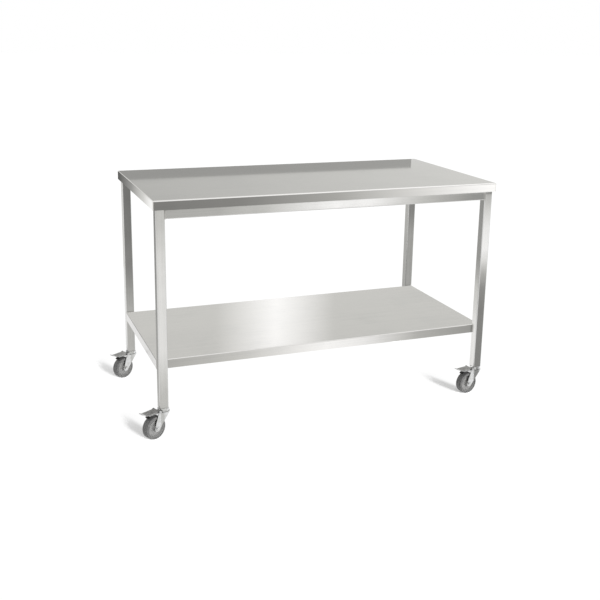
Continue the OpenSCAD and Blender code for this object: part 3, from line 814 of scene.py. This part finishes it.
def makeSpotWelds(s):
    mesh = bmesh.new()
    down = Vector((0, 0, -1))
    radius, rise = s["radius"], s["rise"]
    dimple, dimpleRise = s["dimple"]
    profile = [(radius, -s["sink"]), (radius * s["crest"], rise)]
    profile += [(radius * dimple, rise * dimpleRise), (0, s["sink"])]
    count = 0
    for stiffener, run in s["stiffeners"].items():
        low, high = (Vector(corner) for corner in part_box(stiffener))
        side = alongY if run == alongX else alongX
        length = high[run] - low[run]
        spots = int(length / s["pitch"])
        for i in range(spots):
            for edge in (low[side] + s["edge"], high[side] - s["edge"]):
                place = Vector((0, 0, high.z - s["brim"]))
                place[run] = low[run] + length * (i + 0.5) / spots
                place[side] = edge
                lathe(mesh, place, down, profile, s["sides"])
                count += 1
    addPiece("spotWelds", mesh, "table", finishes["inner_steel"])
    return count


# grip ribs across the pedals
gripRibs = {
    "first": 0.020,    # from the brake pin
    "pitch": 0.0065,
    "count": 5,
    "half": 0.0115,    # half of a rib's length
    "radius": 0.0012,
    "proud": 0.0006,
    "rise": 0.0055,    # top of the tread above the brake pin
    "slope": 1.0,      # degrees downwards
    "ends": [(0.85, 1), (0.92, 0.92), (0.97, 0.72), (1, 0.45)],  # shares of half and radius
    "sides": 12,
}


def makeGripRibs(corner, s):
    pin = Vector(joints["brake_" + corner]["pos_m"])
    across = Vector(joints["brake_" + corner]["axis"])
    along = Vector((across.y, -across.x, 0))
    up = Vector((0, 0, 1))
    ends = [(-place, size) for place, size in reversed(s["ends"])] + s["ends"]
    radii = [s["radius"] * size for place, size in ends]
    fall = math.tan(math.radians(s["slope"]))
    mesh = bmesh.new()
    for i in range(s["count"]):
        reach = s["first"] + i * s["pitch"]
        middle = pin + along * reach + up * (s["rise"] - reach * fall + s["proud"] - s["radius"])
        path = [middle + across * (s["half"] * place) for place, size in ends]
        sweep(mesh, path, radii, up, s["sides"])
    tread = pieceFinishes["brake_pedal"]
    addPiece("gripRibs_" + corner, mesh, "pedal_" + corner, tread)


# rings moulded on the tyre's sides, and the washers and lock collar on the axle
wheelRings = {
    "halfWidth": 0.016,
    "rings": [(0.0371, 0.0005), (0.0385, 0.0004)],  # radius, thickness
    "cheek": 0.0215,                                # outer face of the fork's cheeks
    "washer": [(0.0041, 0), (0.0094, 0), (0.0094, 0.0007), (0.0088, 0.0012), (0.0041, 0.0012)],
    "nut": 0.007,                                   # height of the axle nut
    "collar": [(0.0042, 0), (0.0061, 0), (0.0061, 0.0009), (0.0054, 0.0016), (0.0042, 0.0016)],
    "ringSides": 72,
    "washerSides": 40,
    "collarSides": 32,
}


def makeWheelRings(corner, s):
    centre = Vector(joints["wheel_" + corner]["pos_m"])
    axle = Vector(joints["wheel_" + corner]["axis"])
    rings = bmesh.new()
    fittings = bmesh.new()
    for face in (axle, -axle):
        for radius, thick in s["rings"]:
            section = roundRing(radius, s["halfWidth"], thick)
            lathe(rings, centre, face, section, s["ringSides"], closed=True)
        lathe(fittings, centre + face * s["cheek"], face, s["washer"], s["washerSides"], closed=True)
    nutEnd = centre - axle * (s["cheek"] + s["nut"])
    lathe(fittings, nutEnd, -axle, s["collar"], s["collarSides"], closed=True)
    rubber, plate = finishes["tyre_rubber"], finishes["plated_steel"]
    addPiece("tyreRings_" + corner, rings, "wheel_" + corner, rubber)
    addPiece("axleWashers_" + corner, fittings, "swivel_" + corner, plate)


# rolled rims at the foot of the swivel heads
headRims = {"radius": 0.0220, "thick": 0.0008, "sides": 64}


def makeHeadRims(s):
    mesh = bmesh.new()
    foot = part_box("swivel_heads")[0][alongZ]
    section = roundRing(s["radius"], s["thick"], s["thick"])
    for corner in corners:
        x, y = joints["swivel_" + corner]["pos_m"][:2]
        lathe(mesh, Vector((x, y, foot)), Vector((0, 0, 1)), section, s["sides"], closed=True)
    addPiece("headRims", mesh, "table", finishes["plated_steel"])


# small rounds on the pressed and turned pieces
edgeRounds = {
    "widths": {
        "fork": 0.0005, "brake_pedal": 0.0005, "brake_pin": 0.0004, "brake_shoe": 0.0006,
        "axle_bolt": 0.0006, "axle_nut": 0.0006, "shelf_screws": 0.0005,
        "top_fixing_screws": 0.0005, "top_fixing_nuts": 0.0005,
    },
    "merge": 0.00001,
    "segments": 2,
    "angle": 40.0,     # degrees; flatter edges stay as they are
}


def roundEdges(s):
    count = 0
    for name, node in frame["nodes"].items():
        width = s["widths"].get(kindOf(name))
        if width:
            weld = node.modifiers.new("joinSkins", "WELD")
            weld.merge_threshold = s["merge"]
            edge = node.modifiers.new("edgeRound", "BEVEL")
            edge.width = width
            edge.segments = s["segments"]
            edge.limit_method = "ANGLE"
            edge.angle_limit = math.radians(s["angle"])
            edge.harden_normals = True
            count += 1
    return count


print("welds:", makeWeldBeads(weldBeads), "beads,", makeSpotWelds(spotWelds), "spots")
for corner in corners:
    makeGripRibs(corner, gripRibs)
    makeWheelRings(corner, wheelRings)
makeHeadRims(headRims)
print("casters: ribs, rings, washers and rims on", len(corners))
print("edges: rounded on", roundEdges(edgeRounds), "pieces")
